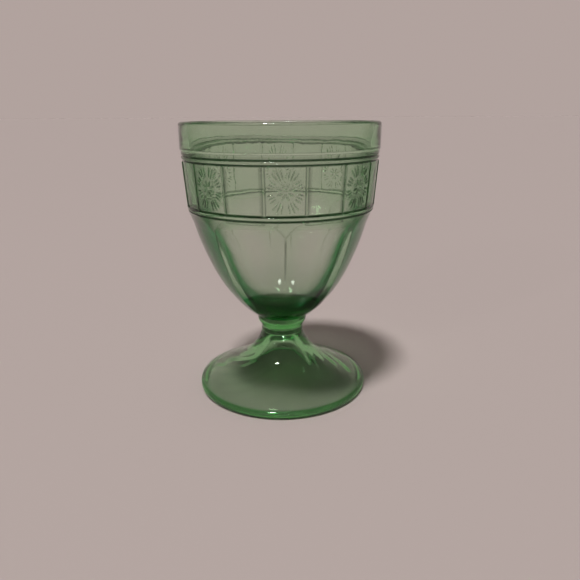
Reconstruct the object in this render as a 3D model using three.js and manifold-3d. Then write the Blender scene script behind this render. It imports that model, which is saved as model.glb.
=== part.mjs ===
// Footed drinking glass in green pressed glass.
// Three hot-joined pieces: the bowl, the ringed wafer at the neck, and the hollow spreading foot.
// Millimetres, +Z up. The origin is the centre of the foot's base, on the table.
// The front of the glass, where one ornamented panel sits square, faces -Y.

import * as THREE from 'three';
import { mergeVertices } from 'three/addons/utils/BufferGeometryUtils.js';
import Module from 'manifold-3d';

const wasm = await Module();
wasm.setup();

// ---------------------------------------------------------------- sizes

const HEIGHT = 127.0;              // foot base to lip
const RIM_R = 44.9;                // outside of the lip
const RIM_WALL = 3.1;              // wall just under the lip
const LIP_ROUND = 1.35;            // fire-polished lip

const ZONE_BOTTOM_Z = 115.4;       // plain rim zone ends in a small step here
const STEP_IN = 0.4;
const RING_PITCH = 1.95;           // height of one bead ring
const RING_RISE = 0.55;            // how far a bead stands out of its grooves
const UPPER_RING_Z = 112.05;       // middle of the bead above the panels
const LOWER_RING_Z = 90.25;        // middle of the bead below the panels

const PANELS = 16;                 // ornamented and plain panels, turn about
const PANEL_TOP_Z = 110.7;
const PANEL_TOP_R = 44.0;
const PANEL_FOOT_Z = 91.7;
const PANEL_FOOT_R = 42.6;
const RIB_W = 1.25;                // upright rib between two panels
const RIB_RISE = 0.5;
const PETALS = 8;                  // raised petals of one rosette
const PETAL_L = 3.3;
const PETAL_W = 1.1;

const FLUTES = 8;                  // shallow arched facets round the lower bowl
const FLUTE_TOP_Z = 88.9;
const FLUTE_ARCH = 6.6;            // height of an arch, crown to springing
const FLUTE_DEPTH = 0.037;         // cut at a facet's middle, as a share of the radius

const BOWL_FLOOR_Z = 39.3;         // lowest point inside the bowl
const BOWL_JOINT_Z = 36.25;        // bowl stands on the wafer
const FOOT_JOINT_Z = 27.5;         // wafer stands on the foot

const NECK_RING_R = 11.9;          // upper ring of the wafer
const NECK_BAND_R = 10.2;          // lower band of the wafer

const FOOT_R = 41.5;
const FOOT_EDGE_T = 3.4;           // thickness of the foot's edge
const REST_R_IN = 39.1;            // inner edge of the flat ring the glass rests on
const HOLLOW_TOP_Z = 23.4;         // ceiling of the hollow under the foot
const HOLLOW_TOP_R = 4.7;

const BOWL_COLUMNS = 64;           // facets round the bowl, eight to a flute
const FOOT_COLUMNS = 56;

// ---------------------------------------------------------------- helpers

// profile entries are [radius, height]
const toProfile = (rows) => rows.map(([r, z]) => new THREE.Vector2(r, z));

// a closed turned body about Z, with shared vertices merged and axis slivers dropped
function turned(rows, columns) {
  let geometry = new THREE.LatheGeometry(toProfile(rows), columns);
  geometry.deleteAttribute('normal');
  geometry.deleteAttribute('uv');
  geometry.rotateX(Math.PI / 2);
  geometry = mergeVertices(geometry, 1e-4);
  const kept = [];
  const index = geometry.index.array;
  for (let i = 0; i < index.length; i += 3) {
    const [a, b, c] = [index[i], index[i + 1], index[i + 2]];
    if (a !== b && b !== c && c !== a) kept.push(a, b, c);
  }
  geometry.setIndex(kept);
  return geometry;
}

function toSolid(source) {
  let geometry = source.clone();
  geometry.deleteAttribute('normal');
  geometry.deleteAttribute('uv');
  geometry = mergeVertices(geometry, 1e-4);
  return new wasm.Manifold(new wasm.Mesh({
    numProp: 3,
    vertProperties: new Float32Array(geometry.attributes.position.array),
    triVerts: new Uint32Array(geometry.index.array),
  }));
}

function toGeometry(solid) {
  const mesh = solid.getMesh();
  const geometry = new THREE.BufferGeometry();
  geometry.setAttribute('position', new THREE.BufferAttribute(new Float32Array(mesh.vertProperties), 3));
  geometry.setIndex(new THREE.BufferAttribute(new Uint32Array(mesh.triVerts), 1));
  geometry.computeVertexNormals();
  return geometry;
}

const glass = (colour) => new THREE.MeshStandardMaterial({
  color: colour,
  roughness: 0.04,
  metalness: 0,
  transparent: true,
  opacity: 0.45,
});

// radius of the panel band's plain surface at a height
const panelRadius = (z) => THREE.MathUtils.mapLinear(z, PANEL_FOOT_Z, PANEL_TOP_Z, PANEL_FOOT_R, PANEL_TOP_R);

// lean of the panel band from upright
const PANEL_LEAN = Math.atan2(PANEL_TOP_R - PANEL_FOOT_R, PANEL_TOP_Z - PANEL_FOOT_Z);

// stands a small shape on the panel band, at an angle round the bowl and a height,
// turned by spin in the plane of the panel
function standOnBand(geometry, angle, z, rise, spin = 0) {
  const radius = panelRadius(z) + rise;
  geometry.rotateY(-spin);
  geometry.rotateX(PANEL_LEAN);
  geometry.translate(0, -radius, z);
  geometry.rotateZ(angle);
  return geometry;
}

// ---------------------------------------------------------------- bowl

// one round bead between two grooves, listed upwards
function beadRows(middleZ, grooveR) {
  const half = RING_PITCH / 2;
  return [
    [grooveR, middleZ - half],
    [grooveR + RING_RISE * 0.85, middleZ - half * 0.6],
    [grooveR + RING_RISE, middleZ],
    [grooveR + RING_RISE * 0.85, middleZ + half * 0.6],
    [grooveR, middleZ + half],
  ];
}

// outside of the lower bowl along a rib, listed upwards
const BOWL_SIDE = [
  [12.2, BOWL_JOINT_Z],
  [13.6, 37.3],
  [15.9, 39.1],
  [19.4, 42.0],
  [23.3, 46.0],
  [27.4, 51.0],
  [31.6, 58.0],
  [35.3, 66.0],
  [38.4, 74.0],
  [39.7, 78.0],
  [41.0, 82.3],
  [41.5, 84.2],
  [42.0, 86.2],
  [42.35, 87.6],
  [42.6, FLUTE_TOP_Z],
];

// inside of the bowl, listed downwards from under the lip
const BOWL_INSIDE = [
  [RIM_R - RIM_WALL, HEIGHT - 2.2],
  [40.9, ZONE_BOTTOM_Z],
  [40.0, 102.0],
  [38.6, 90.0],
  [37.0, 80.0],
  [34.0, 71.0],
  [29.2, 60.0],
  [24.9, 52.8],
  [21.0, 48.0],
  [17.0, 44.1],
  [12.8, 41.3],
  [7.6, 39.8],
  [0, BOWL_FLOOR_Z],
];

function bowlRows() {
  const lipR = RIM_R - RIM_WALL / 2;
  const lower = beadRows(LOWER_RING_Z, 42.4);
  const upper = beadRows(UPPER_RING_Z, 43.95);
  return [
    [0, BOWL_JOINT_Z],
    ...BOWL_SIDE,
    ...lower,
    [PANEL_FOOT_R, PANEL_FOOT_Z],
    [panelRadius(98), 98],
    [panelRadius(104.5), 104.5],
    [PANEL_TOP_R, PANEL_TOP_Z],
    ...upper,
    [RIM_R - STEP_IN, UPPER_RING_Z + RING_PITCH / 2 + 0.45],
    [RIM_R - STEP_IN, ZONE_BOTTOM_Z - 0.25],
    [RIM_R, ZONE_BOTTOM_Z + 0.25],
    [RIM_R, HEIGHT - LIP_ROUND],
    [RIM_R - 0.45, HEIGHT - 0.4],
    [lipR, HEIGHT],
    [RIM_R - RIM_WALL + 0.4, HEIGHT - 0.5],
    ...BOWL_INSIDE,
  ];
}

// presses the arched facets into the outside of the lower bowl;
// neighbouring facets meet in a crisp rib below the middle of every ornamented panel
function pressFlutes(geometry) {
  const place = geometry.attributes.position;
  const pitch = 2 * Math.PI / FLUTES;
  for (let i = 0; i < place.count; i += 1) {
    const x = place.getX(i);
    const y = place.getY(i);
    const z = place.getZ(i);
    const outside = Math.hypot(x, y) > sideRadius(z) - 0.05;
    if (z > FLUTE_TOP_Z || z < BOWL_JOINT_Z + 0.5 || !outside) continue;
    const turn = (Math.atan2(x, -y) / pitch + FLUTES) % 1;
    const across = Math.abs(turn * 2 - 1);
    const below = Math.min((FLUTE_TOP_Z - z) / FLUTE_ARCH, 1);
    const fade = THREE.MathUtils.smoothstep(z, BOWL_JOINT_Z, 50);
    const middle = 1 + FLUTE_DEPTH * Math.sqrt(below) * fade;
    const facet = (1 + FLUTE_DEPTH * fade * across * across) / middle;
    const scale = Math.min(1, facet);
    place.setXY(i, x * scale, y * scale);
  }
  return geometry;
}

function sideRadius(z) {
  for (let i = 1; i < BOWL_SIDE.length; i += 1) {
    const [r0, z0] = BOWL_SIDE[i - 1];
    const [r1, z1] = BOWL_SIDE[i];
    if (z <= z1) return THREE.MathUtils.mapLinear(z, z0, z1, r0, r1);
  }
  return BOWL_SIDE[BOWL_SIDE.length - 1][0];
}

// upright rib on the edge of a panel, rooted in the lower bead
function ribSolid(angle) {
  const length = PANEL_TOP_Z - 0.15 - LOWER_RING_Z;
  const middleZ = LOWER_RING_Z + length / 2;
  const rib = new THREE.BoxGeometry(RIB_W, 1.6, length);
  return toSolid(standOnBand(rib, angle, middleZ, RIB_RISE - 0.8));
}

// raised pointed petal, one of a ring round the middle of an ornamented panel
function petalSolid(angle, k) {
  const spin = (k + 0.5) * 2 * Math.PI / PETALS;
  const middleZ = (PANEL_TOP_Z + PANEL_FOOT_Z) / 2;
  const petal = new THREE.OctahedronGeometry(1);
  petal.scale(PETAL_W / 2, 0.75, PETAL_L / 2);
  petal.translate(0, 0, PETAL_L / 2 + 1.0);
  return toSolid(standOnBand(petal, angle, middleZ, 0, spin));
}

function makeBowl() {
  let solid = toSolid(pressFlutes(turned(bowlRows(), BOWL_COLUMNS)));
  const pitch = 2 * Math.PI / PANELS;
  for (let i = 0; i < PANELS; i += 1) {
    solid = solid.add(ribSolid((i + 0.5) * pitch));
  }
  for (let i = 0; i < PANELS; i += 2) {
    for (let k = 0; k < PETALS; k += 1) {
      solid = solid.add(petalSolid(i * pitch, k));
    }
  }
  const bowl = new THREE.Mesh(toGeometry(solid), glass(0x9fb79a));
  bowl.name = 'bowl';
  return bowl;
}

// ---------------------------------------------------------------- neck wafer

// a disc of hot glass squeezed between bowl and foot: a proud ring above a narrower band
function makeNeckWafer() {
  const rows = [
    [0, FOOT_JOINT_Z],
    [NECK_BAND_R - 0.3, FOOT_JOINT_Z],
    [NECK_BAND_R, FOOT_JOINT_Z + 0.5],
    [NECK_BAND_R, FOOT_JOINT_Z + 2.4],
    [NECK_BAND_R + 0.25, FOOT_JOINT_Z + 3.3],
    [NECK_RING_R - 0.75, FOOT_JOINT_Z + 5.2],
    [NECK_RING_R - 0.2, FOOT_JOINT_Z + 5.9],
    [NECK_RING_R, FOOT_JOINT_Z + 6.9],
    [NECK_RING_R, FOOT_JOINT_Z + 8.1],
    [NECK_RING_R - 0.25, BOWL_JOINT_Z],
    [0, BOWL_JOINT_Z],
  ];
  const wafer = new THREE.Mesh(turned(rows, FOOT_COLUMNS), glass(0x2f6b3a));
  wafer.geometry.computeVertexNormals();
  wafer.name = 'neck_wafer';
  return wafer;
}

// ---------------------------------------------------------------- foot

// spreading foot: solid at the neck, hollow below, resting on a flat ring at its edge
function makeFoot() {
  const top = [
    [FOOT_R - 0.9, 0],
    [FOOT_R - 0.2, 0.9],
    [FOOT_R, FOOT_EDGE_T * 0.6],
    [FOOT_R - 0.35, FOOT_EDGE_T * 0.92],
    [FOOT_R - 1.1, FOOT_EDGE_T + 0.35],
    [38.0, 4.9],
    [33.0, 7.4],
    [28.0, 9.8],
    [23.0, 12.3],
    [18.5, 15.3],
    [15.2, 18.4],
    [12.9, 21.4],
    [11.3, 24.4],
    [10.5, 26.4],
    [NECK_BAND_R - 0.1, FOOT_JOINT_Z],
    [0, FOOT_JOINT_Z],
  ];
  const under = [
    [0, HOLLOW_TOP_Z],
    [HOLLOW_TOP_R, HOLLOW_TOP_Z - 0.6],
    [6.3, 20.6],
    [7.7, 18.6],
    [9.4, 16.4],
    [12.0, 13.9],
    [15.0, 11.8],
    [19.0, 9.6],
    [24.5, 7.1],
    [30.0, 4.8],
    [35.5, 2.6],
    [REST_R_IN - 1.0, 0.75],
    [REST_R_IN, 0],
  ];
  const foot = new THREE.Mesh(turned([...under, ...top], FOOT_COLUMNS), glass(0x4f8a55));
  foot.geometry.computeVertexNormals();
  foot.name = 'foot';
  return foot;
}

// ---------------------------------------------------------------- assembly

const group = new THREE.Group();
group.add(makeBowl());
group.add(makeNeckWafer());
group.add(makeFoot());

export default group;
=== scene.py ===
"""Footed tumbler in green pressed glass, on a pale floor in soft studio light.

The bowl, the neck wafer and the foot are each one closed skin of rings, measured from the
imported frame. Radii and heights inside the shape functions are millimetres; meshes are metres.
Angles round the glass start at the front (-Y) and grow towards +X.
"""
import math

import bpy
import numpy as np
from mathutils import Euler, Matrix, Vector


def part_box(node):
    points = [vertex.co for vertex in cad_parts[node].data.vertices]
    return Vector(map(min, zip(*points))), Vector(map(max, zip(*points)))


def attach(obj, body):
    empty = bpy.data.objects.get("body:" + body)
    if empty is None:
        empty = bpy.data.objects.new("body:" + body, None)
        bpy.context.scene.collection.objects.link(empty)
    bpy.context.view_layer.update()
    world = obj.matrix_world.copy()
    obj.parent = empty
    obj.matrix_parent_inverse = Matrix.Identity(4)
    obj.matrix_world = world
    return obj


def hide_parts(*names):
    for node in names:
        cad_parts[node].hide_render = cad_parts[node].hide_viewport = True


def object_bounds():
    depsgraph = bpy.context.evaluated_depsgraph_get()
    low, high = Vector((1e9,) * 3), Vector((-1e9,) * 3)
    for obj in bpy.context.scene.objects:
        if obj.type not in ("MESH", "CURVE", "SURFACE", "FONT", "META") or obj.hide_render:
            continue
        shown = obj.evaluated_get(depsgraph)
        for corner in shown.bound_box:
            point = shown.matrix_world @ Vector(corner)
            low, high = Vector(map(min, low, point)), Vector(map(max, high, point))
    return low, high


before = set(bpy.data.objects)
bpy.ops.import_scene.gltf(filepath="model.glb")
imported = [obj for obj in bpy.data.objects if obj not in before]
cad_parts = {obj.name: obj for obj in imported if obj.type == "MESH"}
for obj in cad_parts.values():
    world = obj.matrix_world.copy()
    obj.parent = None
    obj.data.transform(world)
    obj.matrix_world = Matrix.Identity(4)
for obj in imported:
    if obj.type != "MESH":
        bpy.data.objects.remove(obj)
cad_low, cad_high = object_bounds()

# ------------------------------------------------------------------ sizes taken from the frame

MM = 0.001

bowl_low, bowl_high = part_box("bowl")
foot_low, foot_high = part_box("foot")
wafer_low, wafer_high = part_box("neck_wafer")

RIM_R = (bowl_high[0] - bowl_low[0]) / 2 / MM
LIP_Z = bowl_high[2] / MM
BOWL_JOINT_Z = bowl_low[2] / MM
FOOT_JOINT_Z = foot_high[2] / MM
FOOT_R = (foot_high[0] - foot_low[0]) / 2 / MM
NECK_RING_R = (wafer_high[0] - wafer_low[0]) / 2 / MM

# ------------------------------------------------------------------ sizes of the pressed pattern

RIM_WALL = 3.1              # wall just under the lip
LIP_ROUND = 1.45            # height over which the lip is rounded
LIP_SQUARE = 0.85           # 1 would be a half round, less is squarer
STEP_Z = LIP_Z - 11.6       # the plain rim zone ends in a small step
STEP_IN = 0.4

# four fine grooves: above and below the upper bead, above and below the lower bead
UPPER_TOP_Z, UPPER_FOOT_Z = LIP_Z - 14.0, LIP_Z - 15.95
LOWER_TOP_Z, LOWER_FOOT_Z = LIP_Z - 35.75, LIP_Z - 37.75
GROOVES_Z = [UPPER_TOP_Z, UPPER_FOOT_Z, LOWER_TOP_Z, LOWER_FOOT_Z]
GROOVE_HALF = 0.46
GROOVE_DEEP = 0.55

PANEL_TOP_Z = LIP_Z - 16.4
PANEL_FOOT_Z = LIP_Z - 35.25
PANEL_TOP_R = RIM_R - 0.9
PANEL_FOOT_R = RIM_R - 2.3
PANEL_MIDDLE_Z = (PANEL_FOOT_Z + PANEL_TOP_Z) / 2
PANEL_MIDDLE_R = (PANEL_FOOT_R + PANEL_TOP_R) / 2
PANEL_PAIRS = 8             # an ornamented and a plain panel make a pair
PAIR = 2 * math.pi / PANEL_PAIRS
RIB_HALF = 0.66             # half width of an upright rib
RIB_RISE = 0.45
RIB_ROOT = 0.5              # a rib's flanks start this far under the panels
RIB_FOOT_Z = LOWER_TOP_Z - 0.75

FLUTES = 8
FLUTE_TOP_Z = LIP_Z - 38.1
FLUTE_TOP_R = RIM_R - 2.25
FLUTE_ARCH = 6.6            # crown to springing
SPRINGING_Z = FLUTE_TOP_Z - FLUTE_ARCH
FLUTE_DEPTH = 0.037         # share of the radius cut away at the middle of a facet
FLUTE_FADE_Z = 50.0         # facets melt into the round below this
FLUTE_RIB_HALF = 0.62       # half width of the crisp rib between two facets

BOWL_FLOOR_Z = 39.3

FOOT_EDGE_T = 3.4
REST_R_IN = FOOT_R - 2.4
HOLLOW_TOP_Z = 23.4

SEAM_GAP = 0.02             # hairline kept between fused faces
SHARP_ANGLE = math.radians(48)
SPAN_POINTS = 24            # fine points on a span of a curve, before they are spaced evenly

# ------------------------------------------------------------------ curves and skins


def smooth_curve(points, step):
    """Points along a Catmull-Rom curve through (radius, height) points, about step apart."""
    p = np.array(points, dtype=float)
    p = np.vstack([2 * p[0] - p[1], p, 2 * p[-1] - p[-2]])
    fine = []
    for i in range(1, len(p) - 2):
        t = np.linspace(0, 1, SPAN_POINTS, endpoint=False)[:, None]
        a, b, c, d = p[i - 1], p[i], p[i + 1], p[i + 2]
        fine.append(0.5 * (2 * b + (c - a) * t + (2 * a - 5 * b + 4 * c - d) * t**2
                           + (3 * b - a - 3 * c + d) * t**3))
    fine = np.vstack([*fine, p[-2][None]])
    run = np.concatenate([[0], np.cumsum(np.hypot(*np.diff(fine, axis=0).T))])
    count = max(2, int(round(run[-1] / step)) + 1)
    at = np.linspace(0, run[-1], count)
    return np.column_stack([np.interp(at, run, fine[:, 0]), np.interp(at, run, fine[:, 1])])


def even_angles(count):
    """Even columns, counted from the middle of a plain panel."""
    return -PAIR / 2 + np.arange(count) * 2 * math.pi / count


def rings_of(angles, radii, heights):
    """Rings of a skin: one row of radii, or one radius, for each height."""
    return [(angles, np.broadcast_to(r, angles.shape), z) for r, z in zip(radii, heights)]


def next_angle(angles, i):
    """The angle after column i, counted on past a full turn; infinity when the ring is used up."""
    if i >= len(angles):
        return math.inf
    if i + 1 == len(angles):
        return angles[0] + 2 * math.pi
    return angles[i + 1]


def stitch(first, first_angles, second, second_angles):
    """Triangles between two rings whose columns differ."""
    faces = []
    n, m = len(first_angles), len(second_angles)
    i = j = 0
    while i < n or j < m:
        next_first = next_angle(first_angles, i)
        next_second = next_angle(second_angles, j)
        if next_first <= next_second:
            faces.append((first + i % n, first + (i + 1) % n, second + j % m))
            i += 1
        else:
            faces.append((first + i % n, second + (j + 1) % m, second + j % m))
            j += 1
    return faces


def skin(name, rings, start_z, end_z):
    """A closed mesh from rings in order, from a point on the axis to another point on it."""
    points = [np.array([[0.0, 0.0, start_z]])]
    starts = []
    total = 1
    for angles, radii, z in rings:
        heights = np.broadcast_to(z, angles.shape)
        points.append(np.column_stack([radii * np.sin(angles), -radii * np.cos(angles), heights]))
        starts.append(total)
        total += len(angles)
    points.append(np.array([[0.0, 0.0, end_z]]))
    first, last = len(rings[0][0]), len(rings[-1][0])
    faces = [(0, starts[0] + (i + 1) % first, starts[0] + i) for i in range(first)]
    for k in range(len(rings) - 1):
        low, high = rings[k][0], rings[k + 1][0]
        a, b = starts[k], starts[k + 1]
        if len(low) == len(high) and np.allclose(low, high):
            n = len(low)
            faces += [(a + i, a + (i + 1) % n, b + (i + 1) % n, b + i) for i in range(n)]
        else:
            faces += stitch(a, low, b, high)
    faces += [(starts[-1] + i, starts[-1] + (i + 1) % last, total) for i in range(last)]
    mesh = bpy.data.meshes.new(name)
    mesh.from_pydata(np.vstack(points) * MM, [], faces)
    mesh.validate()
    mesh.shade_smooth()
    mesh.set_sharp_from_angle(angle=SHARP_ANGLE)
    piece = bpy.data.objects.new(name, mesh)
    bpy.context.scene.collection.objects.link(piece)
    return piece


def face_places(mesh):
    """Centres and normals of all the faces."""
    centres = np.empty(len(mesh.polygons) * 3)
    mesh.polygons.foreach_get("center", centres)
    normals = np.empty(len(mesh.polygons) * 3)
    mesh.polygons.foreach_get("normal", normals)
    return centres.reshape(-1, 3), normals.reshape(-1, 3)


def mark_fused_faces(piece, heights):
    """Face layer 'skin': 1 on open glass, 0 where the glass runs on into the next piece."""
    mesh = piece.data
    centres, normals = face_places(mesh)
    open_skin = np.ones(len(mesh.polygons), dtype=np.float32)
    level = np.abs(normals[:, 2]) > 0.99
    for z in heights:
        at_joint = np.abs(centres[:, 2] - z * MM) < 1.5 * SEAM_GAP * MM
        open_skin[level & at_joint] = 0
    layer = mesh.attributes.new("skin", "FLOAT", "FACE")
    layer.data.foreach_set("value", open_skin)


def mark_points(piece, name, amount):
    """A point layer, worked out from each point's angle from the front, radius and height."""
    mesh = piece.data
    points = np.empty(len(mesh.vertices) * 3)
    mesh.vertices.foreach_get("co", points)
    x, y, z = points.reshape(-1, 3).T / MM
    values = amount(np.arctan2(x, -y), np.hypot(x, y), z).astype(np.float32)
    layer = mesh.attributes.new(name, "FLOAT", "POINT")
    layer.data.foreach_set("value", values)


def smoothstep(x, low, high):
    """0 at low, 1 at high, with a soft start and end."""
    t = np.clip((x - low) / (high - low), 0, 1)
    return t * t * (3 - 2 * t)


def soft_min(a, b, k):
    """The smaller of two surfaces, with a soft shoulder of width k where they cross."""
    h = np.clip(0.5 + 0.5 * (b - a) / k, 0, 1)
    return b * (1 - h) + a * h - k * h * (1 - h)


# ------------------------------------------------------------------ bowl

RIB_ANGLE = RIB_HALF / PANEL_FOOT_R
QUARTER = PAIR / 4          # from the middle of a panel to its rib
ORNAMENT_COLUMNS, RIB_COLUMNS, PLAIN_COLUMNS = 56, 7, 10
BEAD_ROWS, PANEL_ROWS = 17, 56
FLUTE_COLUMNS = 20          # on each side of a flute
RIM_COLUMNS = 288
LIP_ROWS = 17


def band_columns():
    """Columns round the panel band: close together on ornament and ribs, wide on plain glass."""
    edges = [
        -QUARTER + RIB_ANGLE, QUARTER - RIB_ANGLE, QUARTER + RIB_ANGLE,
        3 * QUARTER - RIB_ANGLE, 3 * QUARTER + RIB_ANGLE,
    ]
    counts = [ORNAMENT_COLUMNS, RIB_COLUMNS, PLAIN_COLUMNS, RIB_COLUMNS]
    one_pair = np.concatenate([
        np.linspace(start, end, count, endpoint=False)
        for start, end, count in zip(edges, edges[1:], counts)
    ])
    return np.concatenate([one_pair + k * PAIR for k in range(PANEL_PAIRS)])


def from_panel_middle(angles):
    """Angles counted from the middle of the nearest ornamented panel."""
    return (angles + PAIR / 2) % PAIR - PAIR / 2


def panel_line(z):
    """Radius of the plain panels, which lean in towards the foot of the band."""
    return np.interp(z, [PANEL_FOOT_Z, PANEL_TOP_Z], [PANEL_FOOT_R, PANEL_TOP_R])


def band_base(z):
    """Radius of the band without ribs or ornament: panels, beads and the grooves beside them."""
    crests = [
        (FLUTE_TOP_Z, FLUTE_TOP_R),
        ((LOWER_TOP_Z + LOWER_FOOT_Z) / 2, RIM_R - 1.92),
        (PANEL_FOOT_Z, PANEL_FOOT_R),
        (PANEL_TOP_Z, PANEL_TOP_R),
        ((UPPER_TOP_Z + UPPER_FOOT_Z) / 2, RIM_R - 0.38),
        (UPPER_TOP_Z + 0.5, RIM_R - STEP_IN),
        (STEP_Z - 0.3, RIM_R - STEP_IN),
        (STEP_Z + 0.15, RIM_R),
    ]
    heights, radii = zip(*crests)
    radius = np.interp(z, heights, radii)
    for groove in GROOVES_Z:
        dip = np.clip(1 - ((z - groove) / GROOVE_HALF) ** 2, 0, 1)
        radius = radius - GROOVE_DEEP * dip**1.5
    return radius


# strokes of one rosette from its middle: (degrees from upright, start, end, half width)
ROSETTE_PETALS = [(k * 45 + 22.5, 0.8, 3.5, 0.40) for k in range(8)]
ROSETTE_FANS = [
    (side * base + spread, 4.3 + 0.25 * abs(spread) / 9, reach, 0.27)
    for side in (-1, 1)
    for base, reach in ((24, 9.1), (66, 7.4), (114, 7.4), (156, 9.1))
    for spread in (-12, 0, 12)
]
ROSETTE_RISE = 0.45
ROSETTE_ROOM_ACROSS = 7.5   # the strokes stop this far from the middle of the panel
ROSETTE_ROOM_UP = 9.0


def rosette_height(across, up):
    """Raised strokes of a plain round rosette, at places across and up from a panel's middle."""
    height = np.zeros(across.shape)
    for degrees, start, end, half in ROSETTE_PETALS + ROSETTE_FANS:
        a = math.radians(degrees)
        along = across * math.sin(a) + up * math.cos(a)
        aside = across * math.cos(a) - up * math.sin(a)
        t = np.clip((along - start) / (end - start), 0, 1)
        width = half * np.maximum(np.sin(math.pi * t), 1e-6) ** 0.55
        section = np.clip(1 - (aside / width) ** 2, 0, 1) ** 0.8
        taper = np.clip(np.sin(math.pi * t) * 3, 0, 1)
        height = np.maximum(height, ROSETTE_RISE * section * taper)
    room = smoothstep(ROSETTE_ROOM_ACROSS - np.abs(across), 0, 0.5)
    room = room * smoothstep(ROSETTE_ROOM_UP - np.abs(up), 0, 0.5)
    return height * room


def band_radii(angles, z):
    """Radii of the band at one height, round all the columns."""
    base = float(band_base(z))
    turn = from_panel_middle(angles)
    from_rib = np.abs(np.abs(turn) - QUARTER)
    rib = np.clip(1 - (from_rib / RIB_ANGLE) ** 2, 0, 1) ** 0.8
    reach = smoothstep(z, RIB_FOOT_Z - 0.2, RIB_FOOT_Z + 0.2)
    reach = reach * (1 - smoothstep(z, PANEL_TOP_Z - 0.35, PANEL_TOP_Z))
    rib_r = float(panel_line(z)) - RIB_ROOT + (RIB_ROOT + RIB_RISE) * rib * reach
    radius = np.maximum(base, rib_r)
    on_panel = (np.abs(turn) < QUARTER - RIB_ANGLE) & (PANEL_FOOT_Z < z < PANEL_TOP_Z)
    relief = rosette_height(turn * base, z - PANEL_MIDDLE_Z)
    return radius + np.where(on_panel, relief, 0)


BOWL_SIDE = [
    (12.2, BOWL_JOINT_Z + SEAM_GAP), (13.6, 37.3), (15.9, 39.1), (19.4, 42.0), (23.3, 46.0),
    (27.4, 51.0), (31.6, 58.0), (35.3, 66.0), (38.4, 74.0), (40.95, 82.3), (42.0, 86.2),
    (FLUTE_TOP_R, FLUTE_TOP_Z),
]

BOWL_INSIDE = [
    (RIM_R - RIM_WALL - 0.02, LIP_Z - 2.0), (RIM_R - 3.55, LIP_Z - 7.0), (40.85, STEP_Z),
    (40.0, 102.0), (38.6, 90.0), (37.0, 80.0), (34.0, 71.0), (29.2, 60.0), (24.9, 52.8),
    (21.0, 48.0), (17.0, 44.1), (12.8, 41.3), (7.6, 39.9), (1.2, BOWL_FLOOR_Z),
]


def flute_columns():
    """Columns round the flutes, closer together beside the ribs."""
    one_side = (PAIR / 2) * np.linspace(0, 1, FLUTE_COLUMNS + 1)**1.35
    one_flute = np.concatenate([one_side[:-1], PAIR - one_side[:0:-1]])
    return np.concatenate([one_flute + k * PAIR for k in range(FLUTES)])


def flute_radii(angles, r, z):
    """Radii at one height of the lower bowl: round above the arches, faceted below them."""
    across = np.abs(((angles / PAIR) % 1) * 2 - 1)
    below = min(max((FLUTE_TOP_Z - z) / FLUTE_ARCH, 0), 1)
    fade = float(smoothstep(z, BOWL_JOINT_Z, FLUTE_FADE_Z))
    middle = 1 + FLUTE_DEPTH * below**0.5 * fade
    facet = (1 + FLUTE_DEPTH * fade * across**2) / middle
    shoulder = 0.002 + 0.003 * (1 - float(smoothstep(below, 0.4, 1.0)))
    return r * soft_min(np.ones(angles.shape), facet, shoulder)


def on_band(r, z):
    """True on the outer side of the band, from below the lower bead up to the step."""
    return (z > LOWER_FOOT_Z - 1) & (z < STEP_Z + 0.2) & (r > RIM_R - RIM_WALL + 0.15)


def outside_bowl(r, z):
    """True on the outer side of the lower bowl, where the radius is past the middle of the wall."""
    side_r, side_z = np.array(BOWL_SIDE).T
    inside_r, inside_z = np.array(BOWL_INSIDE[::-1]).T
    return r > (np.interp(z, side_z, side_r) + np.interp(z, inside_z, inside_r)) / 2


def groove_shade(z):
    """How far a height lies in one of the four ring grooves, 0 to 1."""
    shade = np.zeros(z.shape)
    for middle in GROOVES_Z:
        u = (z - middle) / (GROOVE_HALF + 0.12)
        shade = np.maximum(shade, np.clip(1.7 - 1.7 * u**2, 0, 1))
    return shade


def fold_shade(turn, z):
    """How far a point lies beside an upright rib or on the edge of a rosette's stroke, 0 to 1."""
    beside_rib = np.abs(np.abs(turn) - QUARTER) / RIB_ANGLE
    rib_edge = np.clip(1 - ((beside_rib - 0.8) / 0.55) ** 2, 0, 1)
    stroke = rosette_height(turn * PANEL_MIDDLE_R, z - PANEL_MIDDLE_Z) / ROSETTE_RISE
    stroke_edge = smoothstep(stroke, 0.0, 0.35) * (1 - 0.85 * smoothstep(stroke, 0.6, 0.95))
    on_ornament = np.abs(turn) < QUARTER - RIB_ANGLE
    on_panel = (z > PANEL_FOOT_Z) & (z < PANEL_TOP_Z)
    return np.maximum(rib_edge * 0.8, stroke_edge * on_ornament) * on_panel


def flute_rib_shade(turn, r, z):
    """How far a point lies on the crisp rib between two flutes, 0 to 1."""
    across = np.clip(1 - (turn * r / FLUTE_RIB_HALF) ** 2, 0, 1)
    along = smoothstep(z, FLUTE_FADE_Z + 8, FLUTE_FADE_Z + 20)
    along = along * (1 - smoothstep(z, SPRINGING_Z - 2.3, SPRINGING_Z + 1.2))
    return across * along * outside_bowl(r, z)


def bowl_depth(angles, r, z):
    """How much green a wall seen aslant gathers: most below the band, none at the rim."""
    lost_on_band = 0.4 * smoothstep(z, FLUTE_TOP_Z - 3, FLUTE_TOP_Z + 2)
    lost_at_rim = 0.6 * smoothstep(z, STEP_Z - 1, STEP_Z)
    return 1 - lost_on_band - lost_at_rim


def bowl_thickness(angles, r, z):
    """The solid bottom of the bowl is the deepest green."""
    return 0.22 * (1 - smoothstep(z, BOWL_FLOOR_Z, BOWL_FLOOR_Z + 21))


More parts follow.
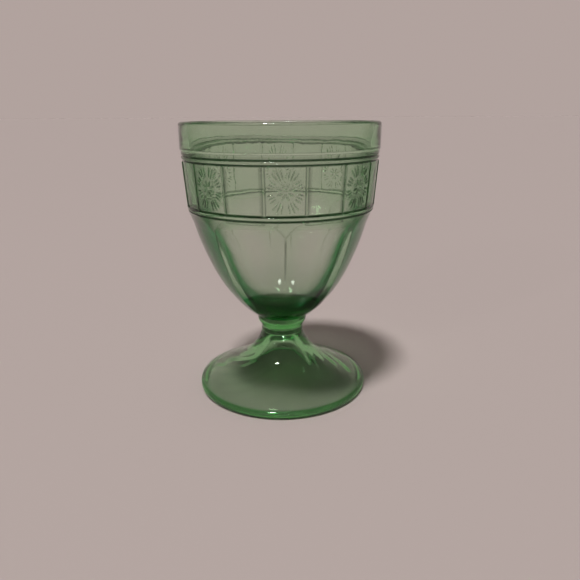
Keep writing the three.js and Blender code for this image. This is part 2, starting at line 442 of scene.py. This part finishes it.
def arch_shade(turn, r, z):
    """How far a point lies on the edge of a flute's arch, 0 to 1."""
    below = (FLUTE_TOP_Z - z) / FLUTE_ARCH
    across = 1 - np.abs(turn) / (PAIR / 2)
    edge = np.abs(across - np.clip(below, 0, 1) ** 0.25) * PAIR / 2 * r
    line = np.clip(1 - (edge / FLUTE_RIB_HALF) ** 2, 0, 1)
    return line * (below > 0.02) * (below < 1.02) * outside_bowl(r, z)


def crease_shade(angles, r, z):
    """Painted shade in the folds of the pressed pattern as seen from outside, 0 to 1."""
    turn = from_panel_middle(angles)
    band = np.maximum(groove_shade(z), fold_shade(turn, z)) * on_band(r, z)
    flutes = np.maximum(flute_rib_shade(turn, r, z), 0.5 * arch_shade(turn, r, z))
    return np.maximum(band, 0.75 * flutes)


def crease_shade_behind(angles, r, z):
    """Painted shade of the same pattern on the far wall, seen through the glass: softer, with a
    painted dark upper band.
    """
    turn = from_panel_middle(angles)
    # painted shade: a dark band on the far wall between the top of the panels and the step
    upper_band_shade = 0.42 * smoothstep(z, PANEL_TOP_Z - 0.3, PANEL_TOP_Z)
    upper_band_shade = upper_band_shade * (1 - smoothstep(z, STEP_Z, STEP_Z + 0.2))
    band = np.maximum(0.6 * groove_shade(z), 0.15 * fold_shade(turn, z))
    band = np.maximum(band, upper_band_shade) * on_band(r, z)
    return np.maximum(band, 0.4 * flute_rib_shade(turn, r, z))


def lip_rub(angles, r, z):
    """The top of the lip is rubbed by use."""
    return np.where(z > LIP_Z - 1.2, 0.5, 0.0)


def inside_waver(angles, z):
    """The plunger side of pressed glass is never quite true."""
    return (0.05 * np.sin(3 * angles + z / 9) + 0.035 * np.sin(5 * angles - z / 6 + 1.3)
            + 0.02 * np.sin(z / 2.7 + 2 * angles))


def lip_rows():
    """The fire-polished lip, nearly flat on top, from the outside over to the inside."""
    middle = RIM_R - RIM_WALL / 2
    half = RIM_WALL / 2
    rows = []
    for a in np.linspace(0.0, math.pi, LIP_ROWS):
        across = math.copysign(abs(math.cos(a)) ** LIP_SQUARE, math.cos(a))
        rows.append((middle + half * across, LIP_Z - LIP_ROUND * (1 - math.sin(a) ** LIP_SQUARE)))
    return rows


def make_bowl():
    """Rings from the joint face up the outside, over the lip and down the inside."""
    flutes = flute_columns()
    band = band_columns()
    plain = even_angles(RIM_COLUMNS)
    rings = []
    floor = BOWL_JOINT_Z + SEAM_GAP
    for r in (4.0, 8.0, 11.0):
        rings += rings_of(flutes, [r], [floor])
    coarse, fine = smooth_curve(BOWL_SIDE, step=1.15), smooth_curve(BOWL_SIDE, step=0.4)
    arches_z = SPRINGING_Z - 1.5
    side = np.vstack([coarse[coarse[:, 1] < arches_z - 0.5], fine[fine[:, 1] > arches_z]])
    rings += rings_of(flutes, [flute_radii(flutes, r, z) for r, z in side], side[:, 1])
    lower_bead = np.linspace(FLUTE_TOP_Z + 0.06, PANEL_FOOT_Z, BEAD_ROWS)
    panels = np.linspace(PANEL_FOOT_Z, PANEL_TOP_Z, PANEL_ROWS)[1:]
    upper_bead = np.linspace(PANEL_TOP_Z, UPPER_TOP_Z + 0.5, BEAD_ROWS)[1:]
    step = [STEP_Z - 0.6, STEP_Z - 0.3]
    band_heights = np.concatenate([lower_bead, panels, upper_bead, step])
    rings += rings_of(band, [band_radii(band, z) for z in band_heights], band_heights)
    rim_zone = [
        STEP_Z - 0.15, STEP_Z, STEP_Z + 0.15, STEP_Z + 0.6, STEP_Z + 3.0, LIP_Z - 5.0, LIP_Z - 2.6,
    ]
    rings += rings_of(plain, [float(band_base(z)) for z in rim_zone], rim_zone)
    lip = lip_rows()
    rings += rings_of(plain, [r for r, _ in lip], [z for _, z in lip])
    inside = smooth_curve(BOWL_INSIDE, step=2.4)[1:]
    for r, z in inside:
        settle = smoothstep(LIP_Z - z, 1.5, 8.0) * smoothstep(r, 0.0, 14.0)
        rings.append((plain, r + inside_waver(plain, z) * settle, z))
    bowl = skin("bowl_pressed", rings, floor, BOWL_FLOOR_Z)
    mark_fused_faces(bowl, [floor])
    mark_points(bowl, "rub", lip_rub)
    mark_points(bowl, "deep", bowl_depth)
    mark_points(bowl, "thick", bowl_thickness)
    # painted shade in the folds of the pressed pattern, on the near wall and on the far wall
    mark_points(bowl, "crease_shade", crease_shade)
    mark_points(bowl, "crease_shade_behind", crease_shade_behind)
    return bowl


# ------------------------------------------------------------------ neck wafer

WAFER_LOW_Z = FOOT_JOINT_Z + SEAM_GAP


def waist_shade(angles, r, z):
    """The narrow band under the proud ring is in the ring's shade."""
    return 0.6 * np.clip(1.5 - 1.5 * ((z - WAFER_LOW_Z - 1.5) / 1.5) ** 2, 0, 1)


def ring_thickness(angles, r, z):
    """The proud ring is solid glass."""
    return 0.2 * smoothstep(z, WAFER_LOW_Z + 4, WAFER_LOW_Z + 6)


def make_neck_wafer():
    """A closed skin from the foot's joint face, up the edge, to the bowl's joint face."""
    columns = even_angles(192)
    low, high = WAFER_LOW_Z, BOWL_JOINT_Z - SEAM_GAP
    edge = smooth_curve([
        (9.95, low), (10.2, low + 0.5), (10.25, low + 1.4), (10.15, low + 2.3), (10.3, low + 3.1),
        (10.85, low + 4.3), (11.3, low + 5.2), (NECK_RING_R - 0.15, low + 6.1),
        (NECK_RING_R, low + 7.1), (NECK_RING_R - 0.1, low + 8.0), (NECK_RING_R - 0.3, high),
    ], step=0.22)
    rings = []
    for r in (4.0, 8.0, 9.9):
        rings += rings_of(columns, [r], [low])
    rings += rings_of(columns, edge[:, 0], edge[:, 1])
    for r in (11.0, 8.0, 4.0):
        rings += rings_of(columns, [r], [high])
    wafer = skin("neck_wafer_pressed", rings, low, high)
    mark_fused_faces(wafer, [low, high])
    mark_points(wafer, "thick", ring_thickness)
    # painted shade under the proud ring, on the near wall and on the far wall
    mark_points(wafer, "crease_shade", waist_shade)
    mark_points(wafer, "crease_shade_behind", waist_shade)
    return wafer


# ------------------------------------------------------------------ foot

def under_waver(angles, r):
    """Slow swirls left in the hollow side of the foot."""
    swirl = angles + r / 45
    return (0.10 * np.sin(7 * swirl + 0.6) + 0.07 * np.sin(11 * swirl - r / 4)
            + 0.05 * np.sin(19 * swirl + r / 2.5))


def edge_thickness(angles, r, z):
    """The rounded edge is the brightest green."""
    return smoothstep(r, FOOT_R - 1.7, FOOT_R - 0.9)


def foot_rub(angles, r, z):
    """The flat ring that the glass stands on is scuffed."""
    return np.where((z < 0.5) & (r > REST_R_IN - 0.5), 1.0, 0.0)


def make_foot():
    """A closed skin from the top of the hollow, down and round the edge, up to the joint face."""
    columns = even_angles(256)
    under = smooth_curve([
        (1.0, HOLLOW_TOP_Z), (3.4, HOLLOW_TOP_Z - 0.15), (4.9, 22.4), (6.3, 20.6), (7.7, 18.6),
        (9.4, 16.4), (12.0, 13.9), (15.0, 11.8), (19.0, 9.6), (24.5, 7.1), (30.0, 4.8),
        (35.5, 2.6), (REST_R_IN - 1.0, 0.75), (REST_R_IN, 0.0),
    ], step=0.9)
    edge = smooth_curve([
        (FOOT_R - 1.1, 0.0), (FOOT_R - 0.45, 0.35), (FOOT_R - 0.1, 1.1), (FOOT_R, 2.0),
        (FOOT_R - 0.12, 2.8), (FOOT_R - 0.5, 3.45), (FOOT_R - 1.2, FOOT_EDGE_T + 0.5),
    ], step=0.35)
    top = smooth_curve([
        (FOOT_R - 1.2, FOOT_EDGE_T + 0.5), (38.0, 5.1), (33.0, 7.5), (28.0, 9.9), (23.0, 12.4),
        (18.5, 15.4), (15.2, 18.5), (12.9, 21.5), (11.3, 24.4), (10.5, 26.3),
        (10.0, FOOT_JOINT_Z - SEAM_GAP),
    ], step=0.9)[1:]
    rings = []
    for r, z in under:
        settle = smoothstep(r, 8.0, 14.0) * (1 - smoothstep(r, REST_R_IN - 6, REST_R_IN - 1.5))
        rings.append((columns, np.full(columns.shape, r), z + under_waver(columns, r) * settle))
    rings += rings_of(columns, [REST_R_IN + 0.7], [0.0])
    rings += rings_of(columns, edge[:, 0], edge[:, 1])
    for r, z in top:
        waver = 0.05 * np.sin(4 * columns + r / 5) * smoothstep(r, 12.0, 20.0)
        rings.append((columns, np.full(columns.shape, r), z + waver))
    for r in (8.0, 4.0):
        rings += rings_of(columns, [r], [FOOT_JOINT_Z - SEAM_GAP])
    foot = skin("foot_pressed", rings, HOLLOW_TOP_Z, FOOT_JOINT_Z - SEAM_GAP)
    mark_fused_faces(foot, [FOOT_JOINT_Z - SEAM_GAP])
    mark_points(foot, "thick", edge_thickness)
    mark_points(foot, "rub", foot_rub)
    return foot


# ------------------------------------------------------------------ glass

CLEAR_ROUGHNESS = 0.015


def layer_node(nodes, name):
    """A node that reads one of the layers marked on the meshes."""
    layer = nodes.new("ShaderNodeAttribute")
    layer.attribute_name = name
    return layer


def noise_node(nodes, links, place, scale, detail):
    """Noise that is fixed to the glass."""
    noise = nodes.new("ShaderNodeTexNoise")
    noise.inputs["Scale"].default_value = scale
    noise.inputs["Detail"].default_value = detail
    links.new(place.outputs["Object"], noise.inputs["Vector"])
    return noise


def bump_node(nodes, links, height, strength, distance):
    """A bump of a given depth in metres, from a height and a strength socket."""
    bump = nodes.new("ShaderNodeBump")
    bump.inputs["Distance"].default_value = distance
    links.new(height, bump.inputs["Height"])
    links.new(strength, bump.inputs["Strength"])
    return bump


def pressed_skin_group():
    """Skin of old pressed glass: slow ripples, fine chill marks, and haze where it has rubbed."""
    group = bpy.data.node_groups.new("pressed glass skin", "ShaderNodeTree")
    face = group.interface
    for name, default in (("Ripple", 0.1), ("Chill", 0.04), ("Haze", 0.2)):
        socket = face.new_socket(name=name, in_out="INPUT", socket_type="NodeSocketFloat")
        socket.default_value = default
    face.new_socket(name="Normal", in_out="OUTPUT", socket_type="NodeSocketVector")
    face.new_socket(name="Roughness", in_out="OUTPUT", socket_type="NodeSocketFloat")
    nodes, links = group.nodes, group.links
    given = nodes.new("NodeGroupInput")
    out = nodes.new("NodeGroupOutput")
    place = nodes.new("ShaderNodeTexCoord")

    ripple = noise_node(nodes, links, place, scale=140.0, detail=1.0)
    chill = noise_node(nodes, links, place, scale=900.0, detail=2.0)
    ripple_bump = bump_node(
        nodes, links, ripple.outputs["Fac"], given.outputs["Ripple"], distance=0.6 * MM)
    chill_bump = bump_node(
        nodes, links, chill.outputs["Fac"], given.outputs["Chill"], distance=0.1 * MM)
    links.new(ripple_bump.outputs["Normal"], chill_bump.inputs["Normal"])
    links.new(chill_bump.outputs["Normal"], out.inputs["Normal"])

    rubbed = layer_node(nodes, "rub")
    scratch = noise_node(nodes, links, place, scale=2600.0, detail=3.0)
    patchy = nodes.new("ShaderNodeMath")
    patchy.operation = "MULTIPLY"
    links.new(rubbed.outputs["Fac"], patchy.inputs[0])
    links.new(scratch.outputs["Fac"], patchy.inputs[1])
    haze = nodes.new("ShaderNodeMath")
    haze.operation = "MULTIPLY_ADD"
    haze.inputs[2].default_value = CLEAR_ROUGHNESS
    links.new(patchy.outputs[0], haze.inputs[0])
    links.new(given.outputs["Haze"], haze.inputs[1])
    links.new(haze.outputs[0], out.inputs["Roughness"])
    return group


GLASS_IOR = 1.52
GLASS_GREEN = (0.17, 0.82, 0.20, 1)         # what light keeps of its colour inside the glass
CREASE_SHADE = (0.006, 0.022, 0.007, 1)      # painted shade in the folds of the pressed pattern
WALL_DEPTH = (0.005, 0.17, 0.028, 1)        # the colour that steep walls gather
EDGE_DEPTH = (0.07, 0.46, 0.085, 1)         # the brighter green of the foot's rounded edge
SLANT_SHADES = [                             # painted shade, from facing the eye to edge on
    (0.45, (0.95, 0.91, 0.93, 1)),
    (0.62, (0.78, 0.79, 0.76, 1)),
    (0.82, (0.36, 0.46, 0.35, 1)),
    (0.97, (0.05, 0.16, 0.06, 1)),
]
STEEP_FROM, STEEP_TO = 0.26, 0.58           # walls start to gather depth, and are full of it


def slant_shade(nodes, links, facing):
    """Painted shade: near clear where the glass faces the eye, darker and greener as it turns edge
    on.
    """
    ramp = nodes.new("ShaderNodeValToRGB")
    stops = ramp.color_ramp.elements
    stops[0].position, stops[0].color = SLANT_SHADES[0]
    stops[1].position, stops[1].color = SLANT_SHADES[-1]
    for position, colour in SLANT_SHADES[1:-1]:
        stops.new(position).color = colour
    links.new(facing, ramp.inputs["Fac"])
    return ramp.outputs["Color"]


def gathered_depth(nodes, links, facing):
    """How much of the depth colour shows: steep walls gather it, and thick places always have it."""
    deep = layer_node(nodes, "deep")
    thick = layer_node(nodes, "thick")
    steep = nodes.new("ShaderNodeMapRange")
    steep.interpolation_type = "SMOOTHSTEP"
    steep.inputs["From Min"].default_value = STEEP_FROM
    steep.inputs["From Max"].default_value = STEEP_TO
    links.new(facing, steep.inputs["Value"])
    gathered = nodes.new("ShaderNodeMath")
    gathered.operation = "MULTIPLY_ADD"
    gathered.use_clamp = True
    links.new(deep.outputs["Fac"], gathered.inputs[0])
    links.new(steep.outputs["Result"], gathered.inputs[1])
    links.new(thick.outputs["Fac"], gathered.inputs[2])
    return gathered.outputs[0]


def crease_shade_seen(nodes, links):
    """Painted shade of the pressed folds, with its own strength on the near wall and on the far wall.
    """
    near = layer_node(nodes, "crease_shade")
    far = layer_node(nodes, "crease_shade_behind")
    side = nodes.new("ShaderNodeNewGeometry")
    seen = nodes.new("ShaderNodeMix")
    seen.data_type = "FLOAT"
    links.new(side.outputs["Backfacing"], seen.inputs["Factor"])
    links.new(near.outputs["Fac"], seen.inputs["A"])
    links.new(far.outputs["Fac"], seen.inputs["B"])
    return seen.outputs["Result"]


def laid_over(nodes, links, amount, under, colour):
    """One colour laid over another by an amount that changes over the surface."""
    mix = nodes.new("ShaderNodeMix")
    mix.data_type = "RGBA"
    mix.inputs["B"].default_value = colour
    links.new(amount, mix.inputs["Factor"])
    links.new(under, mix.inputs["A"])
    return mix.outputs["Result"]


def green_glass(name, skin_group, ripple, chill, haze, density, depth_green):
    """Clear green glass: the colour is in its depth, so thick places go deep green; the base colour
    also carries painted shade where the glass turns edge on and in the pressed folds.
    """
    glass = bpy.data.materials.new(name)
    glass.use_nodes = True
    nodes, links = glass.node_tree.nodes, glass.node_tree.links
    shader = nodes["Principled BSDF"]

    # painted shade that darkens the glass as it turns edge on
    slant = nodes.new("ShaderNodeLayerWeight")
    slant.inputs["Blend"].default_value = 0.5
    facing = slant.outputs["Facing"]
    green = slant_shade(nodes, links, facing)
    green = laid_over(nodes, links, gathered_depth(nodes, links, facing), green, depth_green)
    # painted shade laid over the folds of the pressed pattern
    green = laid_over(nodes, links, crease_shade_seen(nodes, links), green, CREASE_SHADE)
    links.new(green, shader.inputs["Base Color"])
    shader.inputs["Transmission Weight"].default_value = 1.0
    shader.inputs["IOR"].default_value = GLASS_IOR

    surface = nodes.new("ShaderNodeGroup")
    surface.node_tree = skin_group
    surface.inputs["Ripple"].default_value = ripple
    surface.inputs["Chill"].default_value = chill
    surface.inputs["Haze"].default_value = haze
    links.new(surface.outputs["Normal"], shader.inputs["Normal"])
    links.new(surface.outputs["Roughness"], shader.inputs["Roughness"])
    open_skin = layer_node(nodes, "skin")
    links.new(open_skin.outputs["Fac"], shader.inputs["Alpha"])

    depth = nodes.new("ShaderNodeVolumeAbsorption")
    depth.inputs["Color"].default_value = GLASS_GREEN
    depth.inputs["Density"].default_value = density
    links.new(depth.outputs["Volume"], nodes["Material Output"].inputs["Volume"])
    return glass


def dress(piece, node, material):
    """Give a piece its glass and let it stand for its node of the frame."""
    piece.data.materials.append(material)
    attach(piece, "root")
    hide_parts(node)


skin_group = pressed_skin_group()
bowl_glass = green_glass(
    "bowl glass", skin_group,
    ripple=0.10, chill=0.05, haze=0.25, density=82.0, depth_green=WALL_DEPTH)
neck_glass = green_glass(
    "neck glass", skin_group,
    ripple=0.08, chill=0.04, haze=0.1, density=95.0, depth_green=WALL_DEPTH)
foot_glass = green_glass(
    "foot glass", skin_group,
    ripple=0.14, chill=0.06, haze=0.5, density=88.0, depth_green=EDGE_DEPTH)
dress(make_bowl(), "bowl", bowl_glass)
dress(make_neck_wafer(), "neck_wafer", neck_glass)
dress(make_foot(), "foot", foot_glass)

# ------------------------------------------------------------------ floor, light and camera

FLOOR_ACROSS = 120.0
FLOOR_GAP = 0.05 * MM
FLOOR_TONE = (0.56, 0.475, 0.45, 1)
HORIZON_TONE = (0.441, 0.364, 0.342, 1)     # as bright as the lit floor, so no line shows
OVERHEAD_TONE = (0.07, 0.07, 0.07, 1)
WALL_FADE = (0.30, 0.70)                    # where the wall starts to darken, and where it ends
SUN_STRENGTH = 2.05
SUN_ACROSS = math.radians(8)
SUN_TILT = (math.radians(15), math.radians(-10), 0)
LAMP_AIM = (0, 0, 0.06)
LENS_MM, SENSOR_MM = 33.5, 36.0
BOUNCES = 24                                # light crosses many walls of glass on its way


def make_floor():
    """A pale matt floor, a hair under the foot."""
    bpy.ops.mesh.primitive_plane_add(size=FLOOR_ACROSS, location=(0, 0, cad_low[2] - FLOOR_GAP))
    floor = bpy.context.object
    floor.name = "pale floor"
    paint = bpy.data.materials.new("pale floor")
    paint.use_nodes = True
    shader = paint.node_tree.nodes["Principled BSDF"]
    shader.inputs["Base Color"].default_value = FLOOR_TONE
    shader.inputs["Roughness"].default_value = 1.0
    shader.inputs["Specular IOR Level"].default_value = 0.0
    floor.data.materials.append(paint)


def make_world():
    """A pale wall all round that darkens softly overhead."""
    world = bpy.data.worlds.new("studio")
    bpy.context.scene.world = world
    world.use_nodes = True
    nodes, links = world.node_tree.nodes, world.node_tree.links
    place = nodes.new("ShaderNodeTexCoord")
    split = nodes.new("ShaderNodeSeparateXYZ")
    links.new(place.outputs["Generated"], split.inputs[0])
    ramp = nodes.new("ShaderNodeValToRGB")
    ramp.color_ramp.interpolation = "EASE"
    for stop, height, tone in zip(ramp.color_ramp.elements, WALL_FADE, (HORIZON_TONE, OVERHEAD_TONE)):
        stop.position = height
        stop.color = tone
    links.new(split.outputs["Z"], ramp.inputs[0])
    links.new(ramp.outputs["Color"], nodes["Background"].inputs["Color"])


def soft_box(name, place, size, power, colour):
    """A small area lamp that points at the glass."""
    lamp = bpy.data.lights.new(name, "AREA")
    lamp.shape = "RECTANGLE"
    lamp.size, lamp.size_y = size
    lamp.energy = power
    lamp.color = colour
    box = bpy.data.objects.new(name, lamp)
    box.location = place
    box.rotation_euler = (Vector(LAMP_AIM) - Vector(place)).to_track_quat("-Z", "Y").to_euler()
    bpy.context.scene.collection.objects.link(box)


def make_lights():
    """A soft sun high over the left shoulder, and two small lamps for the glints."""
    sun = bpy.data.lights.new("soft sun", "SUN")
    sun.energy = SUN_STRENGTH
    sun.angle = SUN_ACROSS
    lamp = bpy.data.objects.new("soft sun", sun)
    lamp.rotation_euler = Euler(SUN_TILT)
    bpy.context.scene.collection.objects.link(lamp)
    soft_box(
        "left lamp", place=(-0.72, -0.72, 0.50), size=(0.04, 0.04), power=0.4,
        colour=(1.0, 0.98, 0.95))
    soft_box(
        "right lamp", place=(0.08, -1.02, 0.46), size=(0.03, 0.045), power=0.3,
        colour=(0.95, 0.98, 1.0))


def make_camera():
    """Just above the lip, close to the glass, turned a little so it stands left of the middle."""
    distance, height = 0.2525, 0.129
    swing = math.radians(-2.4)
    pitch, yaw, roll = math.radians(17.85), math.radians(-0.91), math.radians(-0.32)
    lens = bpy.data.cameras.new("camera")
    lens.sensor_width = SENSOR_MM
    lens.lens = LENS_MM
    camera = bpy.data.objects.new("camera", lens)
    camera.location = (distance * math.sin(swing), -distance * math.cos(swing), height)
    turn = Matrix.Rotation(swing + yaw, 4, "Z") @ Matrix.Rotation(math.pi / 2 - pitch, 4, "X")
    camera.rotation_euler = (turn @ Matrix.Rotation(roll, 4, "Z")).to_euler()
    bpy.context.scene.collection.objects.link(camera)
    bpy.context.scene.camera = camera


make_floor()
make_world()
make_lights()
make_camera()

scene = bpy.context.scene
scene.view_settings.view_transform = "Standard"
scene.cycles.max_bounces = BOUNCES
scene.cycles.transmission_bounces = BOUNCES
scene.cycles.transparent_max_bounces = BOUNCES
scene.cycles.glossy_bounces = 8
scene.cycles.caustics_refractive = True
